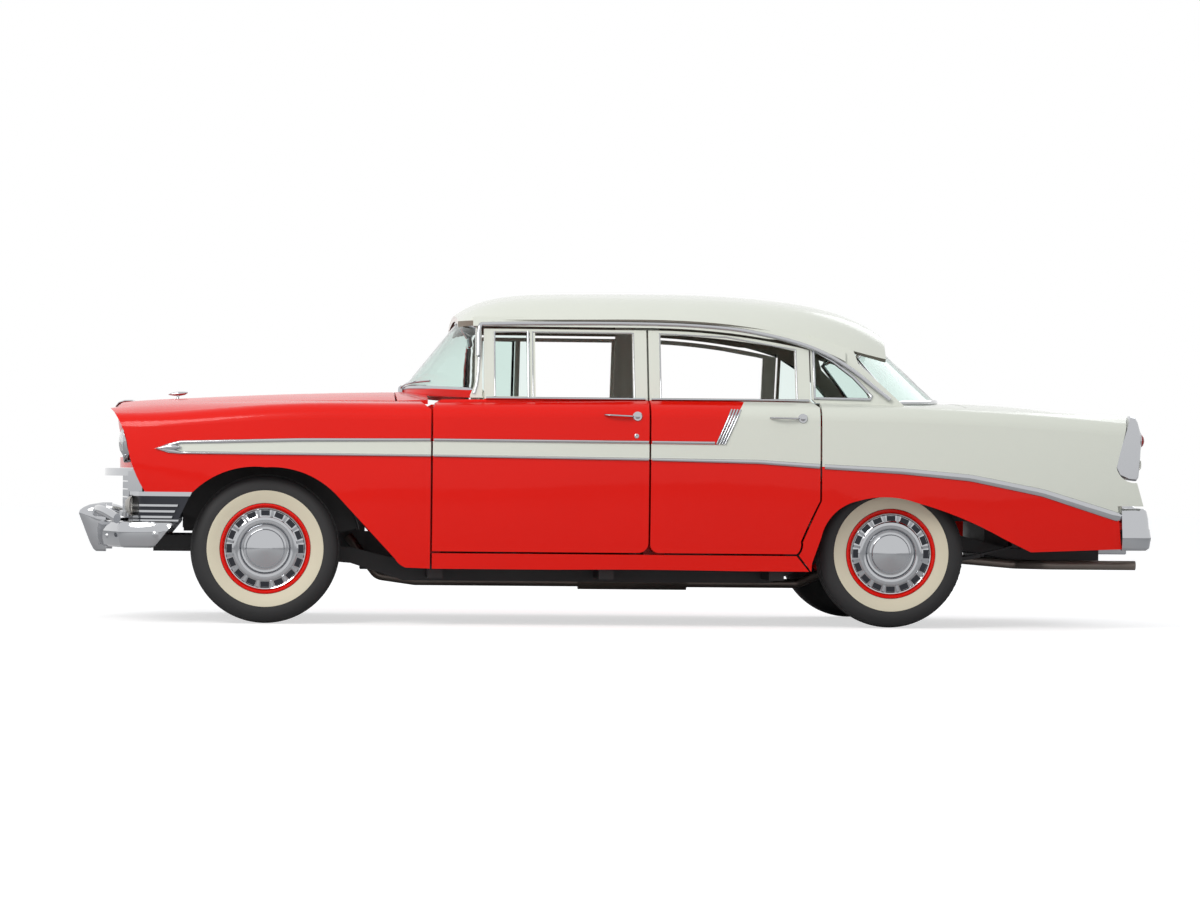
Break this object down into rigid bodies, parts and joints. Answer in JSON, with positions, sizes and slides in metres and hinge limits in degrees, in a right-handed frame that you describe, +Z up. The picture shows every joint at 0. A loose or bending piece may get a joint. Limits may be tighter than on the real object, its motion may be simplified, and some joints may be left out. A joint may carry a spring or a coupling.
{
  "type": "1950s four-door sedan car",
  "caption": "Full-size 1950s four-door sedan with a wrap-around windshield, two-tone paint, chrome bumpers and whitewall tyres; doors, hood, trunk lid, steering and wheels move.",
  "frame": {"origin": "on the ground, midway between the bumpers' tips and the car's sides", "axes": "+X forward along the car, +Y to its left side, +Z up"},
  "size_m": [5.07, 1.8534, 1.578],
  "materials": {
    "lower_paint": "gloss red enamel",
    "upper_paint": "gloss ivory enamel",
    "two_tone_paint": "gloss red below and ivory above the side moulding",
    "chrome": "polished",
    "glass": "lightly tinted",
    "black_paint": "satin black chassis paint",
    "cast_metal": "raw and painted cast iron",
    "exhaust_steel": "dull",
    "tyre": "black with a wide white sidewall",
    "wheel_paint": "gloss red",
    "seat_cover": "woven cloth and vinyl bolsters",
    "trim": "dark interior trim",
    "lamp": "polished bezel with a clear or red lens"
  },
  "bodies": {
    "body": {"chassis_frame": "black_paint", "dashboard": "lower_paint", "door_hinges": "black_paint", "engine": "cast_metal", "exhaust": "exhaust_steel", "firewall": "lower_paint", "floor_pan": "black_paint", "front_bumper": "chrome", "front_fenders": "lower_paint", "front_seat": "seat_cover", "front_suspension": "black_paint", "fuel_tank": "black_paint", "grille": "chrome", "headlamps": "lamp", "inner_fenders": "black_paint", "leaf_springs": "black_paint", "parking_lamps": "chrome", "quarter_windows": "glass", "radiator": "black_paint", "rear_axle": "black_paint", "rear_body": "two_tone_paint", "rear_bumper": "chrome", "rear_seat": "seat_cover", "rear_window": "glass", "roof": "upper_paint", "side_frames": "lower_paint", "steering_wheel": "trim", "tail_lamps": "lamp", "windshield": "glass"},
    "front_left_door": {"door_front_left": "two_tone_paint", "vent_window_left": "glass"},
    "rear_left_door": {"door_rear_left": "two_tone_paint"},
    "front_right_door": {"door_front_right": "two_tone_paint", "vent_window_right": "glass"},
    "rear_right_door": {"door_rear_right": "two_tone_paint"},
    "hood": {"hood": "lower_paint"},
    "trunk_lid": {"trunk_lid": "upper_paint"},
    "left_knuckle": {"knuckle_left": "cast_metal"},
    "right_knuckle": {"knuckle_right": "cast_metal"},
    "front_left_wheel": {"tyre_front_left": "tyre", "wheel_front_left": "wheel_paint", "wheel_cover_front_left": "chrome"},
    "front_right_wheel": {"tyre_front_right": "tyre", "wheel_front_right": "wheel_paint", "wheel_cover_front_right": "chrome"},
    "rear_left_wheel": {"tyre_rear_left": "tyre", "wheel_rear_left": "wheel_paint", "wheel_cover_rear_left": "chrome"},
    "rear_right_wheel": {"tyre_rear_right": "tyre", "wheel_rear_right": "wheel_paint", "wheel_cover_rear_right": "chrome"}
  },
  "joints": [
    {"name": "front_left_door_hinge", "type": "hinge", "parent": "body", "child": "front_left_door", "pos_m": [0.8305, 0.906, 0.65], "axis": [0, 0, -1], "range_deg": [0, 65]},
    {"name": "rear_left_door_hinge", "type": "hinge", "parent": "body", "child": "rear_left_door", "pos_m": [-0.1825, 0.906, 0.65], "axis": [0, 0, -1], "range_deg": [0, 65]},
    {"name": "front_right_door_hinge", "type": "hinge", "parent": "body", "child": "front_right_door", "pos_m": [0.8305, -0.906, 0.65], "axis": [0, 0, 1], "range_deg": [0, 65]},
    {"name": "rear_right_door_hinge", "type": "hinge", "parent": "body", "child": "rear_right_door", "pos_m": [-0.1825, -0.906, 0.65], "axis": [0, 0, 1], "range_deg": [0, 65]},
    {"name": "hood_hinge", "type": "hinge", "parent": "body", "child": "hood", "pos_m": [1.046, 0, 1.094], "axis": [0, -1, 0], "range_deg": [0, 50]},
    {"name": "trunk_lid_hinge", "type": "hinge", "parent": "body", "child": "trunk_lid", "pos_m": [-1.645, 0, 1.066], "axis": [0, 1, 0], "range_deg": [0, 58]},
    {"name": "left_steering", "type": "hinge", "parent": "body", "child": "left_knuckle", "pos_m": [1.6505, 0.664, 0.347], "axis": [0, 0, 1], "range_deg": [-30, 30]},
    {"name": "right_steering", "type": "hinge", "parent": "body", "child": "right_knuckle", "pos_m": [1.6505, -0.664, 0.347], "axis": [0, 0, 1], "range_deg": [-30, 30]},
    {"name": "front_left_wheel_spin", "type": "hinge", "parent": "left_knuckle", "child": "front_left_wheel", "pos_m": [1.6505, 0.7365, 0.347], "axis": [0, 1, 0], "continuous": true},
    {"name": "front_right_wheel_spin", "type": "hinge", "parent": "right_knuckle", "child": "front_right_wheel", "pos_m": [1.6505, -0.7365, 0.347], "axis": [0, 1, 0], "continuous": true},
    {"name": "rear_left_wheel_spin", "type": "hinge", "parent": "body", "child": "rear_left_wheel", "pos_m": [-1.2705, 0.748, 0.347], "axis": [0, 1, 0], "continuous": true},
    {"name": "rear_right_wheel_spin", "type": "hinge", "parent": "body", "child": "rear_right_wheel", "pos_m": [-1.2705, -0.748, 0.347], "axis": [0, 1, 0], "continuous": true}
  ],
  "couplings": [
    {"joint": "right_steering", "follows": "left_steering", "ratio": 1}
  ]
}
